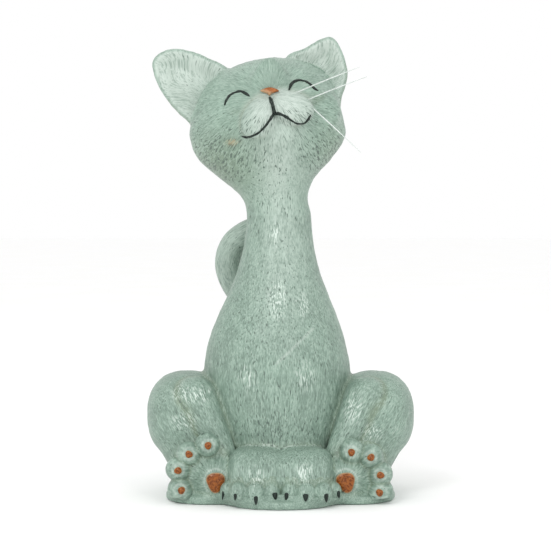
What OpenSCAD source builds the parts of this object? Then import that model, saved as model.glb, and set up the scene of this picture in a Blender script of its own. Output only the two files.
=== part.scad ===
// Seated cat figurine in glazed ceramic: a stretched neck, a tilted smiling head with big cupped ears,
// splayed hind feet that show their paw pads, two front paws with dark claws and a tail curled behind the back.
// Hollow castings and small sprigged pieces are luted together with slip, so each one is a solid of its own.
// Frame: millimetres, +Z up, the cat looks along -Y and its own left side is +X.
// The origin is the middle of the felt's underside, which rests on the table.

/* [Base] */
// Thickness of the felt sheet under the base
felt_t = 1; // [0.8:0.1:1.5]
// Thickness of the base slab
slab_t = 3.2; // [2.6:0.2:4]
// How far the felt's edge is set in from the slab's edge
felt_inset = 3; // [2:0.5:4]
// Radius of the vent hole through the slab
vent_r = 6; // [4:0.5:8]

/* [Torso] */
// Half-width of the belly at its widest
belly_r = 39.5; // [38:0.5:41]
// Half-width of the neck at the joint with the head
neck_r = 17.5; // [16.5:0.5:18.5]
// Wall of the hollow castings
wall = 4; // [3.6:0.2:4.4]

/* [Head] */
// Half-width across the cheeks
cheek_r = 41.6; // [40.4:0.4:42.8]
// Height of the crown between the ears
crown_z = 236; // [235:0.5:237]
// Roll of the face to the cat's right, in degrees
face_roll = 12; // [10:1:14]
// Radius of each whisker pad
muzzle_r = 10.2; // [9.8:0.2:10.6]
// Radius of the inlaid mouth and eyelid lines
line_r = 0.8; // [0.7:0.1:0.9]

/* [Ears] */
// Thickness of an ear before its cup is scooped out
ear_t = 11; // [10:0.5:12]
// Width of the rim around the cup
ear_rim = 3.2; // [2.8:0.2:3.6]

/* [Hind legs] */
// Radius of the knee
knee_r = 21.5; // [21:0.5:22]
// Distance of the toes from the heel pad
toe_fan_r = 19; // [18.5:0.5:19.5]
// Radius of a hind toe
hind_toe_r = 6.4; // [6.2:0.1:6.6]
// Radius of a toe's inlaid pad
toe_pad_r = 2.3; // [2:0.1:2.6]

/* [Front paws] */
// Radius of the arc on which the front toes stand
paw_arc_r = 13; // [12.5:0.5:13.5]
// Radius of a front toe
front_toe_r = 4.6; // [4.4:0.1:4.6]
// Length of a claw
claw_l = 4.8; // [4.2:0.2:5.4]

/* [Tail] */
// Radius of the tail where it leaves the back
tail_root_r = 9.5; // [9:0.5:10]
// Radius of the tail at its tip
tail_tip_r = 6.5; // [6:0.5:7]

/* [Whiskers] */
// Length of a whisker, with the stretch that is glued in
whisker_l = 38; // [30:1:44]
// Radius of a whisker
whisker_r = 0.35; // [0.3:0.05:0.4]

/* [Hidden] */
$fn = 24;
round_fn = 96;
seam = 0.05;                       // the film of slip between two pieces
base_top = felt_t + slab_t;
far = 400;                         // larger than the figurine, for trimming half-spaces

// The skin of torso, neck and head, as rows of [height, middle x, half-width, middle y, half-depth].
skin_rows = [
    [base_top, 0, 0.79 * belly_r, 4.5, 0.80 * belly_r],
    [14, 0, 0.86 * belly_r, 4, 0.89 * belly_r],
    [30, -1, 0.925 * belly_r, 3.2, 0.965 * belly_r],
    [48, -1.5, 0.98 * belly_r, 2, 1.01 * belly_r],
    [66, -1.8, belly_r, 0.8, 0.99 * belly_r],
    [81, -2, 0.935 * belly_r, -0.2, 0.905 * belly_r],
    [94, -1.7, 0.825 * belly_r, -0.7, 0.79 * belly_r],
    [107, -1.3, 0.685 * belly_r, -1, 0.67 * belly_r],
    [120, -1.1, 1.26 * neck_r, -1, 1.29 * neck_r],
    [135, -0.9, 1.06 * neck_r, -0.7, 1.1 * neck_r],
    [150, -0.9, 0.98 * neck_r, -0.3, 1.02 * neck_r],
    [160, -3.4, 1.03 * neck_r, 0, 1.06 * neck_r],
    [170, -7.4, 0.62 * cheek_r, -0.5, 0.55 * cheek_r],
    [180, -8.5, 0.855 * cheek_r, -2.5, 0.695 * cheek_r],
    [192, -6.8, cheek_r, -3.8, 0.82 * cheek_r],
    [204, -6.2, 0.99 * cheek_r, -4, 0.89 * cheek_r],
    [216, -5.3, 0.895 * cheek_r, -2.5, 0.855 * cheek_r],
    [226, -4.6, 0.7 * cheek_r, -0.8, 0.715 * cheek_r],
    [crown_z - 3, -4, 0.375 * cheek_r, 0.2, 0.43 * cheek_r],
    [crown_z, -4, 0.8, 0.5, 0.8]
];
last_row = len(skin_rows) - 1;
joint_row = 10;                    // the row where the head's casting meets the torso's
neck_z = skin_rows[joint_row][0];
spigot_l = 6;                      // the head's locating lip inside the neck

// The face's own frame: u runs to the cat's left, v up the face, both from the middle of the nose.
nose = [-4.7, -44.5, 214.6];
nose_size = [5.4, 4.2, 3];
muzzle_uv = [8.8, -9.8];
muzzle_y = -39;
muzzle_deep = 8.2;
eye_u = 17.3;                      // the middle of an eyelid line
eye_half = 7.3;
eye_rise = 4.8;
head_middle = [-5.2, -2, 203];

// Ears, cat's left then cat's right: middle and radius of each rounded corner, tip first, then crown and cheek.
ears = [
    [[27.3, 5, 240.8, 4.8], [13, 3, 229, 8.5], [27.4, 3, 225.4, 8.6]],
    [[-60.5, 5, 230.3, 8.8], [-38, 3, 224, 9.5], [-47.3, 3, 208.6, 10.5]]
];

// Hind legs on the cat's left side; the right side mirrors them.
hip = [46, 6, 43];
knee = [49.6, -10, 44.5];
ankle = [46, -20, 28];
hip_r = 20;
ankle_r = 18.5;
heel = [34, -31, 13.5];
heel_r = 12.5;
ball = [43.5, -30.5, 19];
ball_r = 14;
heel_pad = [33.5, -42.4, 11.8];
heel_pad_size = [4.3, 2.4, 5.2];
toe_first_angle = 79;
toe_step_angle = -31;
hind_toe_y = -39;

// Front paws on the cat's left side.
paw_middle = [12.9, -40, 17];
paw_size = [13.2, 17.5, 13.6];
paw_arc_middle = [14.8, -43.5, 8.4];
claw_first_angle = -49;
claw_step_angle = 41;

// The tail's middle line, from its root at the back to its tip inside the curl.
tail_line = [
    [4, 34, 8], [8, 46, 20], [9, 50, 40], [6, 49, 60], [-1, 44, 80], [-12, 38.5, 96], [-23.8, 34.5, 109],
    [-28.8, 32, 122], [-25, 30.5, 134], [-12, 29.5, 141.5], [1.5, 29, 138], [8, 29, 126], [4, 29, 115.5],
    [-5, 29, 114]
];

// Whisker roots on the cat's left whisker pad as [u, v], and where each one points as [outward, up, forward].
whisker_roots = [[11, -4.2], [13.6, -9.4], [16.8, -10.8]];
whisker_aims = [[0.93, 0.18, 0.32], [0.93, 0.17, 0.32], [0.56, -0.77, 0.32]];

GLAZE = [0.63, 0.71, 0.65];
PALE = [0.76, 0.82, 0.78];
PAD = [0.6, 0.34, 0.18];
DARK = [0.13, 0.18, 0.16];

SIDES = ["left", "right"];

// ---- Curves and skins ----

// A row between rows i and i + 1 of a table, on a smooth curve through all of them.
function row_at(rows, s) =
    let (last = len(rows) - 1, i = min(floor(s), last - 1), t = s - i,
         a = rows[i], b = rows[i + 1],
         before = i == 0 ? 2 * a - b : rows[i - 1],
         after = i == last - 1 ? 2 * b - a : rows[i + 2])
    0.5 * (2 * a + t * (b - before) + t * t * (2 * before - 5 * a + 4 * b - after)
        + t * t * t * (3 * a - before - 3 * b + after));

// The table's rows at even steps.
function fine_rows(rows, from, to, steps) =
    [for (k = [0:steps]) row_at(rows, from + (to - from) * k / steps)];

function skin_ring(row, inset, sides) =
    [for (k = [0:sides - 1]) let (t = 360 * k / sides)
        [row[1] + (row[2] - inset) * cos(t), row[3] + (row[4] - inset) * sin(t), row[0]]];

fine_skin = fine_rows(skin_rows, 0, last_row, 4 * last_row);

// One column of the skin's table at a given height.
function skin_column(z, column) = lookup(z, [for (row = fine_skin) [row[0], row[column]]]);

// The y of the skin's front at a given x and height.
function skin_front(x, z) =
    let (off = (x - skin_column(z, 1)) / skin_column(z, 2))
    skin_column(z, 3) - skin_column(z, 4) * sqrt(max(0, 1 - off * off));

// A point of the face's frame, as [x, z].
function face_xz(u, v) = [
    nose[0] + u * cos(face_roll) - v * sin(face_roll),
    nose[2] + u * sin(face_roll) + v * cos(face_roll)
];

// The same point laid on the skin.
function on_face(u, v) = let (p = face_xz(u, v)) [p[0], skin_front(p[0], p[1]), p[1]];

function unit(v) = v / norm(v);

// Closes a stack of equal rings, bottom first, into one solid.
module loft(rings) {
    n = len(rings[0]);
    m = len(rings);
    walls = [for (i = [0:m - 2], k = [0:n - 1])
        [i * n + k, (i + 1) * n + k, (i + 1) * n + (k + 1) % n, i * n + (k + 1) % n]];
    polyhedron(
        points = [for (r = rings) each r],
        faces = concat([[for (k = [0:n - 1]) k]], walls, [[for (k = [n - 1:-1:0]) (m - 1) * n + k]]),
        convexity = 8
    );
}

// A tube of changing radius along a list of points. Rings stay square to the line.
module tube(points, radii, sides, up = [0, 1, 0]) {
    last = len(points) - 1;
    loft([for (i = [0:last])
        let (along = unit(points[min(i + 1, last)] - points[max(i - 1, 0)]),
             a = unit(cross(along, up)), b = cross(a, along))
        [for (k = [0:sides - 1]) let (t = -360 * k / sides) points[i] + radii[i] * (cos(t) * a + sin(t) * b)]
    ]);
}

// The closed outer shape of torso or head, between two rows of the table.
module skin(from, to, inset = 0, sides = 40) {
    steps = ceil(2 * (to - from));
    loft([for (row = fine_rows(skin_rows, from, to, steps)) skin_ring(row, inset, sides)]);
}

module ellipsoid(middle, size) {
    translate(middle) scale(size) sphere(1);
}

// A trimmed organic shape, taken whole as one closed skin.
module one_skin() {
    resize([0, 0, 0]) children();
}

// Puts a shape that is drawn on the cat's left side onto side 0, left, or side 1, right.
module on_side(side) {
    mirror([side, 0, 0]) children();
}

module below(z) {
    translate([-far / 2, -far / 2, z - far]) cube(far);
}

// ---- Base ----

module footprint(inset) {
    offset(delta = -inset) offset(r = -4) offset(r = 4, $fn = 48) {
        translate([0, -30]) circle(r = 32.3, $fn = 72);
        translate([0, 8]) circle(r = 38, $fn = 72);
        for (side = [0, 1]) mirror([side, 0]) translate([38, -23]) circle(r = 22.5, $fn = 56);
    }
}

module base_felt() {
    color("dimgray") linear_extrude(felt_t) footprint(felt_inset);
}

module base_slab() {
    color(GLAZE) translate([0, 0, felt_t]) difference() {
        linear_extrude(slab_t) footprint(0);
        translate([0, 8, -1]) cylinder(r = vent_r, h = slab_t + 2, $fn = round_fn);
    }
}

// ---- Torso, neck and tail ----

module torso_outer() {
    skin(0, joint_row);
}

module torso_shell() {
    color(GLAZE) one_skin() difference() {
        torso_outer();
        // The cavity runs on past both ends, so that the casting is open below and at the neck.
        intersection() {
            skin(0, joint_row + 1, wall, 28);
            translate([0, 0, neck_z + seam - far / 2]) cube(far, center = true);
        }
        translate([0, 4, base_top]) cylinder(r = 0.6 * belly_r, h = 2, center = true);
    }
}

module tail() {
    steps = 44;
    last = len(tail_line) - 1;
    line = fine_rows(tail_line, 0, last, steps);
    radii = [for (k = [0:steps]) k == steps ? 0.45 * tail_tip_r
        : tail_root_r + (tail_tip_r - tail_root_r) * k / steps];
    tip = line[steps] + 0.7 * tail_tip_r * unit(line[steps] - line[steps - 1]);
    color(GLAZE) one_skin() difference() {
        tube(concat(line, [tip]), concat(radii, [0.1]), 14, [0, 1, 0.2]);
        torso_outer();
        below(base_top);
    }
}

// ---- Head ----

module head_outer() {
    skin(joint_row, last_row);
    // The bridge of the nose and the two closed lids stand proud of the skin.
    ellipsoid([nose[0] - 0.6, nose[1] + 8.5, nose[2] + 1.5], [8.5, 8, 10]);
    for (side = [-1, 1]) {
        p = on_face(side * eye_u, -3);
        ellipsoid(p + [0, 4.2, 0], [8.6, 6.6, 7.4]);
    }
}

module head_shell() {
    color(GLAZE) one_skin() difference() {
        union() {
            head_outer();
            translate([-0.6, -0.3, neck_z - spigot_l]) cylinder(r = neck_r - wall - 0.3, h = spigot_l + 4);
        }
        translate(head_middle) scale((cheek_r - wall) / cheek_r) translate(-head_middle) skin(joint_row + 2, last_row, 0, 28);
        translate([-0.6, -0.3, neck_z - spigot_l - 1]) cylinder(r = neck_r - wall - 3, h = 34);
        mouth_tube();
        for (side = [-1, 1]) eyelid_tube(side);
        nose_solid();
    }
}

module nose_solid() {
    ellipsoid(nose, nose_size);
}

module nose_button() {
    color(PAD) one_skin() difference() {
        nose_solid();
        head_inside();
    }
}

// The head's outer shape a seam's width smaller, against which applied pieces are fitted.
module head_inside() {
    head_outer();
}

// Each mouth arc follows the lower edge of one whisker pad, from the middle of the lip to the corner.
function mouth_arc(side) = [for (k = [0:10]) let (a = 216 + 112 * k / 10, r = muzzle_r + line_r + 0.5)
    on_face(side * (muzzle_uv[0] + r * cos(a)), muzzle_uv[1] + r * sin(a)) - [0, 0.3, 0]];

// The crease where the two whisker pads meet, at a height on the face.
function crease(v) =
    let (w = 1 - pow(muzzle_uv[0] / muzzle_r, 2) - pow((v - muzzle_uv[1]) / (muzzle_r + 0.4), 2), p = face_xz(0, v))
    [p[0], muzzle_y - muzzle_deep * sqrt(max(0, w)), p[1]];

module mouth_tube() {
    for (side = [-1, 1]) {
        arc = mouth_arc(side);
        tube(arc, [for (p = arc) line_r], 8);
    }
    lip = [for (v = [-15:2:-5]) crease(v)];
    tube(lip, [for (p = lip) line_r], 8);
}

module mouth_line() {
    color(DARK) one_skin() mouth_tube();
}

// A closed, smiling eye: an arch that is laid on the bulge of the lid.
module eyelid_tube(side) {
    arch = [for (k = [0:12]) let (t = k / 12 * 2 - 1,
            p = on_face(side * (eye_u + eye_half * t), -1.5 + eye_rise * (1 - t * t) - 1.2 * t))
        p - [0, 1.6 * (1 - t * t) + 0.2, 0]];
    tube(arch, [for (p = arch) line_r], 8);
}

module eyelid_line(side) {
    color(DARK) one_skin() eyelid_tube(side == 0 ? 1 : -1);
}

module muzzle_ball(sign) {
    p = face_xz(sign * muzzle_uv[0], muzzle_uv[1]);
    ellipsoid([p[0], muzzle_y, p[1]], [muzzle_r, muzzle_deep, muzzle_r + 0.4]);
}

// Everything on the cat's left of the face's middle line, for sign 1, or on its right, for sign -1.
module face_half(sign) {
    translate([nose[0], 0, nose[2]]) rotate([0, -face_roll, 0])
        translate([sign > 0 ? seam : -far - seam, -far / 2, -far / 2]) cube(far);
}

function whisker_root(i) =
    let (p = face_xz(whisker_roots[i][0], whisker_roots[i][1])) [p[0], muzzle_y - 1, p[1]];

function whisker_aim(i) =
    let (a = whisker_aims[i], xz = face_xz(a[0], a[1]) - [nose[0], nose[2]]) [xz[0], -a[2], xz[1]];

module whisker_rods(r, l) {
    for (i = [0:2]) {
        aim = unit(whisker_aim(i));
        translate(whisker_root(i)) rotate([0, acos(aim[2]), atan2(aim[1], aim[0])]) cylinder(r = r, h = l, $fn = 16);
    }
}

module whisker_pad(side) {
    sign = side == 0 ? 1 : -1;
    color(PALE) one_skin() difference() {
        intersection() {
            muzzle_ball(sign);
            face_half(sign);
        }
        head_inside();
        mouth_tube();
        nose_solid();
        if (side == 0) whisker_rods(whisker_r + seam, 20);
    }
}

module whiskers() {
    color("white") whisker_rods(whisker_r, whisker_l);
}

module ear_solid(e, inset) {
    hull() for (i = [0:2])
        ellipsoid([e[i][0], e[i][1], e[i][2]], [e[i][3] - inset, (i == 0 ? 0.36 : 0.5) * ear_t * (1 - inset / 16), e[i][3] - inset]);
}

module ear(side) {
    color(PALE) one_skin() difference() {
        ear_solid(ears[side], 0);
        translate([0, -0.55 * ear_t, 0]) ear_solid(ears[side], ear_rim);
        head_inside();
    }
}

// ---- Hind legs ----

module haunch_outer() {
    hull() {
        translate(hip) sphere(hip_r);
        translate(knee) sphere(knee_r);
        translate(ankle) sphere(ankle_r);
    }
}

module haunch(side) {
    color(GLAZE) on_side(side) one_skin() difference() {
        haunch_outer();
        hull() {
            translate(hip) sphere(hip_r - wall, $fn = 24);
            translate(knee) sphere(knee_r - wall, $fn = 24);
        }
        torso_outer();
        below(base_top);
    }
}

function toe_middle(i) = let (a = toe_first_angle + toe_step_angle * i)
    [heel_pad[0] + toe_fan_r * cos(a), hind_toe_y, heel_pad[2] - 0.3 + toe_fan_r * sin(a)];

module toe_ball(i, fn = 24) {
    translate(toe_middle(i)) sphere(hind_toe_r, $fn = fn);
}

// The recess for a toe's pad runs in from the sole side.
module pad_plug(i, extra) {
    translate(toe_middle(i) - [0, hind_toe_r + 1, 0]) rotate([-90, 0, 0]) cylinder(r = toe_pad_r + extra, h = 3.5);
}

module hind_toe(side, i) {
    color(GLAZE) on_side(side) difference() {
        toe_ball(i, round_fn);
        pad_plug(i, 0);
        below(base_top);
    }
}

module toe_pads(side) {
    color(PAD) on_side(side) for (i = [0:3]) intersection() {
        pad_plug(i, -seam);
        translate(toe_middle(i)) sphere(hind_toe_r + 0.7, $fn = round_fn);
    }
}

module heel_pad_solid() {
    ellipsoid(heel_pad, heel_pad_size);
}

module hind_foot(side) {
    color(GLAZE) on_side(side) one_skin() difference() {
        hull() {
            translate(heel) sphere(heel_r);
            translate(ball) sphere(ball_r);
        }
        haunch_outer();
        torso_outer();
        heel_pad_solid();
        for (i = [0:3]) toe_ball(i);
        for (i = [0:3]) front_toe_ball(i);
        ellipsoid(paw_middle, paw_size);
        below(base_top);
    }
}

module heel_pad(side) {
    color(PAD) on_side(side) heel_pad_solid();
}

// ---- Front paws ----

function front_toe(i) = let (a = claw_first_angle + claw_step_angle * i)
    paw_arc_middle + paw_arc_r * [sin(a), -cos(a), 0];

module front_toe_ball(i) {
    $fn = 16;
    ellipsoid(front_toe(i), [front_toe_r, front_toe_r, 1.25 * front_toe_r]);
}

// A claw points down and outward from the front of its toe.
module claw(i) {
    a = 0.5 * (claw_first_angle + claw_step_angle * i);
    translate(front_toe(i) + (front_toe_r - 1.1) * [sin(a), -cos(a), 0] + [0, 0, 1.8])
        rotate([0, 0, a]) rotate([168, 0, 0]) cylinder(r1 = 1.5, r2 = 0.3, h = claw_l, $fn = 12);
}

module front_paw(side) {
    color(GLAZE) on_side(side) one_skin() difference() {
        ellipsoid(paw_middle, paw_size);
        torso_outer();
        for (i = [0:3]) front_toe_ball(i);
        translate([seam - far, -far / 2, -far / 2]) cube(far);
        below(base_top);
    }
}

module front_toes(side) {
    color(GLAZE) on_side(side) for (i = [0:3]) one_skin() difference() {
        front_toe_ball(i);
        claw(i);
        below(base_top);
    }
}

module claws(side) {
    color(DARK) on_side(side) for (i = [0:3]) claw(i);
}

// ---- The assembly ----

base_felt();
base_slab();
torso_shell();
tail();
head_shell();
nose_button();  // nose
mouth_line();
whiskers();  // left_whiskers
for (side = [0, 1]) {
    name = SIDES[side];
    ear(side);
    whisker_pad(side);
    eyelid_line(side);
    haunch(side);
    hind_foot(side);
    heel_pad(side);
    toe_pads(side);
    front_paw(side);
    front_toes(side);
    claws(side);
    for (i = [0:3]) hind_toe(side, i);
}
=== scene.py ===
# %% [markdown]
# # A seated cat in sage-green glaze
#
# The real object is a slip-cast ceramic ornament. Its maker cast the body and the head hollow, pressed the
# paws and ears, stuck everything together with slip, and combed fur strokes into the soft clay. A sage
# glaze pooled dark in the strokes, and a dry brush put white on the ears and the muzzle. This lesson
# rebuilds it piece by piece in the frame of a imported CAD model: each piece stands where its CAD node stands.

import math
import bpy
import numpy as np
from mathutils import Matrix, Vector


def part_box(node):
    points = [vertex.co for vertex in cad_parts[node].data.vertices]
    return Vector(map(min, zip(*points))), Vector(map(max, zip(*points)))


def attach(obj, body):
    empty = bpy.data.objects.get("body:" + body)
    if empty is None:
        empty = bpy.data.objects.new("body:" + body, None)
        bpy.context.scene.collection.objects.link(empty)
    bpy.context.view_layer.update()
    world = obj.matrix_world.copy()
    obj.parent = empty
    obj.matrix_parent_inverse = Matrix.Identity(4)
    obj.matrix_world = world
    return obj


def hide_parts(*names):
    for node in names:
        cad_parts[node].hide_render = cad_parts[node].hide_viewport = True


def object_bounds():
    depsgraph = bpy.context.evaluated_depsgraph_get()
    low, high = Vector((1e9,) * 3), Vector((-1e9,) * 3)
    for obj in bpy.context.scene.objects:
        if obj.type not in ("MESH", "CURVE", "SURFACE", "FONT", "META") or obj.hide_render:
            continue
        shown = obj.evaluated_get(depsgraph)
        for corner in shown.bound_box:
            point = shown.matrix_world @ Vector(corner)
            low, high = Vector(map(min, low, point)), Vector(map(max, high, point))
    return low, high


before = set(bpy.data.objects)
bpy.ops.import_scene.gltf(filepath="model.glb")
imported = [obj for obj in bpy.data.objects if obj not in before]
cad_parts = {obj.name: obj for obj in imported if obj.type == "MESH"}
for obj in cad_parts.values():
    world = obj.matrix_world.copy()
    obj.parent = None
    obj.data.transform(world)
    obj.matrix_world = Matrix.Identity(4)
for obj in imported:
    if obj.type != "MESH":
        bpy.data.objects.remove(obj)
cad_box = [list(corner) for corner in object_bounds()]
MM = 1000.0

# %% [markdown]
# ## Boxes from the CAD
#
# Fur and glaze are easiest to think about in millimetres, so everything below is modelled in millimetres
# and only the finished mesh is scaled to metres. A small helper turns the box of a CAD node into two numpy
# corners. Other ways would be parenting to the CAD objects or copying their meshes, but a box is enough to
# tie every piece to its place and leaves its shape free.

# %% Boxes in millimetres
def box_mm(node):
    low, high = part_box(node)
    return np.array(low) * MM, np.array(high) * MM


def middle_of(node):
    low, high = box_mm(node)
    return (low + high) / 2


SLAB_TOP = box_mm("base_slab")[1][2]
NECK_JOINT = box_mm("torso_shell")[1][2]
print("neck joint at", round(NECK_JOINT, 1), "mm of", round(cad_box[1][2] * MM, 1))

# %% [markdown]
# ## Camera, floor and light
#
# The ornament stands on a pale table under the large soft lamps of a product studio. The camera is a long
# lens a metre away, level with the top of the neck. A white world gives the even light of a tent, a big lamp
# from the upper left gives form, and a smaller one from the right makes the wet highlights of the glaze.

# %% Camera
scene = bpy.context.scene


def put_in(obj, place, aim):
    """Links a camera or lamp to the scene, and turns it from its place towards aim."""
    scene.collection.objects.link(obj)
    obj.location = place
    obj.rotation_euler = (Vector(aim) - Vector(place)).to_track_quat("-Z", "Y").to_euler()


FIGURE_X, EYE_HEIGHT, AIM_HEIGHT, DISTANCE = -0.0027, 0.160, 0.1172, 1.0
camera = bpy.data.objects.new("camera", bpy.data.cameras.new("camera"))
put_in(camera, (FIGURE_X, -DISTANCE, EYE_HEIGHT), (FIGURE_X, 0.0, AIM_HEIGHT))
camera.data.lens, camera.data.sensor_width, camera.data.clip_end = 121.2, 36, 20
scene.camera = camera
print("camera looks down by", round(math.degrees(math.atan((EYE_HEIGHT - AIM_HEIGHT) / DISTANCE)), 1), "degrees")

# %% World and lamps
scene.view_settings.view_transform = "Standard"
scene.world = bpy.data.worlds.new("tent")
scene.world.use_nodes = True
background = scene.world.node_tree.nodes["Background"].inputs
background["Color"].default_value = (1.0, 1.0, 1.0, 1.0)
background["Strength"].default_value = 1.0


def lamp(name, place, aim, size, power):
    data = bpy.data.lights.new(name, "AREA")
    data.shape, data.size, data.energy = "DISK", size, power
    put_in(bpy.data.objects.new(name, data), place, aim)


lamp("key", (-0.55, -1.15, 1.0), (0, 0, 0.12), 0.55, 6.0)
lamp("shine", (0.5, -1.1, 0.6), (0, 0, 0.10), 0.18, 1.8)

# %% [markdown]
# ## Shader maths as plain expressions
#
# A glaze is a recipe: so much dark in the grooves, so much white on the ridges. Dragging sixty nodes by
# hand hides that recipe, so a small class wraps a socket, and `+`, `*` and `1 - mask` add the Math nodes.
# Every other node comes from one function that takes its type, its settings and its sockets. Colours are
# blended with Mix nodes, because a Math node would turn them grey.

# %% A socket that understands arithmetic
class Wire:
    def __init__(self, tree, socket):
        self.tree, self.socket = tree, socket

    def _math(self, operation, a, b):
        return node(self.tree, "ShaderNodeMath", {"operation": operation}, {0: a, 1: b})

    def __add__(self, other): return self._math("ADD", self, other)
    def __radd__(self, other): return self._math("ADD", other, self)
    def __sub__(self, other): return self._math("SUBTRACT", self, other)
    def __rsub__(self, other): return self._math("SUBTRACT", other, self)
    def __mul__(self, other): return self._math("MULTIPLY", self, other)

    def between(self, low, high):
        """0 below low, 1 above high, smooth in between. With low above high it runs the other way."""
        ends = {"Value": self, "From Min": low, "From Max": high}
        return node(self.tree, "ShaderNodeMapRange", {"interpolation_type": "SMOOTHSTEP"}, ends)


def plug(tree, socket, value):
    """A wire is linked to the socket; anything else becomes its value."""
    if isinstance(value, Wire):
        tree.links.new(value.socket, socket)
    else:
        socket.default_value = value


def node(tree, kind, settings=None, sockets=None, out=0):
    """Adds one node, sets it up, joins or sets its sockets, and returns one output as a Wire."""
    made = tree.nodes.new(kind)
    for key, value in (settings or {}).items():
        setattr(made, key, value)
    for key, value in (sockets or {}).items():
        plug(tree, made.inputs[key], value)
    return Wire(tree, made.outputs[out])


def blend(tree, factor, first, second):
    """Mixes two colours: in a Mix node set to colour, sockets 6 and 7 are A and B, and output 2 the result."""
    first, second = ((*c, 1.0) if isinstance(c, tuple) else c for c in (first, second))
    return node(tree, "ShaderNodeMix", {"data_type": "RGBA"}, {0: factor, 6: first, 7: second}, out=2)


print("shader helpers ready")

# %% Materials from a list of sockets
def new_material(name):
    material = bpy.data.materials.new(name)
    material.use_nodes = True
    return material, material.node_tree


def finish_surface(tree, **sockets):
    """Fills the shader's sockets by name. Underscores stand for spaces."""
    for key, value in sockets.items():
        plug(tree, tree.nodes["Principled BSDF"].inputs[key.replace("_", " ")], value)


def srgb(red, green, blue):
    """A colour given on a screen, 0 to 255, as the linear numbers that shaders use."""
    return tuple((c / 255 / 12.92) if c <= 10 else ((c / 255 + 0.055) / 1.055) ** 2.4 for c in (red, green, blue))


def times(colour, amount):
    return tuple(amount * c for c in colour)


def noise(tree, place, scale, detail=2.0, roughness=0.5):
    return node(tree, "ShaderNodeTexNoise", {"noise_dimensions": "3D"},
                {"Vector": place, "Scale": scale, "Detail": detail, "Roughness": roughness})


def bump(tree, height, strength, distance):
    return node(tree, "ShaderNodeBump", None, {"Strength": strength, "Distance": distance, "Height": height})


print("sage is", [round(c, 3) for c in srgb(157, 178, 164)])

# %% [markdown]
# ## The fur glaze
#
# Each combed stroke is a groove about half a millimetre wide and a few long. The glaze runs off the
# ridges and pools in the grooves, so grooves are darker green and ridges paler, and here and there white
# dashes are painted on the ridges as highlights of the glossy glaze. The strokes need to follow the fur, so
# every mesh carries a vector attribute, `comb`, which runs fast across the strokes and slowly along them;
# noise read at that vector comes out stretched along the fur. Where the fur turns from one direction to
# another, as under the jaw, a second vector, `comb_b`, takes over as `turn` goes from 0 to 1. Image textures
# could do this too, but they would need unwrapping and would blur close up.
#
# The other attributes say where the colour changes: `pale` for the dry brush, and in a few places for painted
# light and painted highlight, `highlight_dab` for white dashes painted on as highlights, `speck` for how
# densely the dark dashes lie, `pool` for glaze gathered in a crease and painted shade in creases
# and hollows, `stain` for a kiln mark.

# %% Fur glaze
def attribute(tree, name, out="Fac"):
    return node(tree, "ShaderNodeAttribute", {"attribute_name": name}, out=out)


def fur_glaze(name, ground, deep, light, soft=0.0, two_ways=False):
    material, tree = new_material(name)
    comb, spot = attribute(tree, "comb", "Vector"), attribute(tree, "spot", "Vector")
    marks = ("pale", "pool", "relief", "highlight_dab", "speck", "stain")
    pale, pool, relief, highlight_dab, speck, stain = (attribute(tree, mark) for mark in marks)

    def fur_noise(scale, detail, roughness):
        first = noise(tree, comb, scale, detail, roughness)
        if not two_ways:
            return first
        turn = attribute(tree, "turn")
        second = noise(tree, attribute(tree, "comb_b", "Vector"), scale, detail, roughness)
        return first * (1 - turn) + second * turn

    strokes = fur_noise(1.65, 2.0, 0.6)
    fine = fur_noise(3.4, 1.0, 0.5)
    dashes = fur_noise(1.5, 1.0, 0.4)
    cloud = noise(tree, spot, 0.06, 3.0, 0.6)
    patch = noise(tree, spot, 0.11, 2.0, 0.5)
    fur = strokes * 0.72 + fine * 0.16 + relief * 0.12

    colour = blend(tree, cloud.between(0.35, 0.66), times(ground, 0.92), times(ground, 1.06))
    # Darker olive where glaze pooled in a crease, together with painted shade in creases, seams and hollows.
    colour = blend(tree, pool, colour, srgb(112, 126, 100))
    colour = blend(tree, fur.between(0.5, 0.37) * (0.75 - pale * 0.2 - soft), colour, deep)
    colour = blend(tree, fur.between(0.5, 0.61) * (0.72 - soft), colour, light)
    # The pale colour is mostly the dry brush; on the chest, the neck, the tail and the tops of the paws it is painted
    # light and painted highlight.
    pale_amount = pale * (0.5 + fur.between(0.36, 0.54) * 0.5)
    colour = blend(tree, pale_amount, colour, srgb(201, 212, 204))
    colour = blend(tree, pale * fur.between(0.49, 0.4) * 0.42, colour, srgb(134, 153, 142))
    dots = (dashes + 0.04 - speck * 0.15).between(0.33, 0.28)
    colour = blend(tree, dots * 0.85, colour, srgb(76, 94, 84))
    # White dashes painted on the ridges as highlights of the glossy glaze; the glaze is also made less rough there.
    painted_glint = dashes.between(0.53, 0.62) * (highlight_dab + patch.between(0.58, 0.72) * 0.3).between(0.12, 0.8)
    colour = blend(tree, painted_glint * 0.75, colour, srgb(212, 225, 216))
    colour = blend(tree, stain * strokes.between(0.38, 0.58), colour, srgb(196, 160, 110))

    finish_surface(tree, Base_Color=colour, Roughness=0.47 - painted_glint * 0.16 + pale * 0.12,
                   Normal=bump(tree, strokes * 0.85 + fine * 0.15, 0.7, 0.0005),
                   Specular_IOR_Level=0.5, Coat_Weight=0.1, Coat_Roughness=0.2)
    return material


SAGE, SAGE_DEEP, SAGE_LIGHT = srgb(129, 152, 138), srgb(92, 114, 102), srgb(169, 191, 177)
fur_material = fur_glaze("fur_glaze", SAGE, SAGE_DEEP, SAGE_LIGHT, 0.2)
face_material = fur_glaze("fur_glaze_face", times(SAGE, 1.12), SAGE_DEEP, SAGE_LIGHT, 0.24, True)
pale_material = fur_glaze("dry_brushed_glaze", times(SAGE, 1.1), SAGE_DEEP, SAGE_LIGHT, 0.25, True)
print("fur glazes", fur_material.name, face_material.name, pale_material.name)
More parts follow.
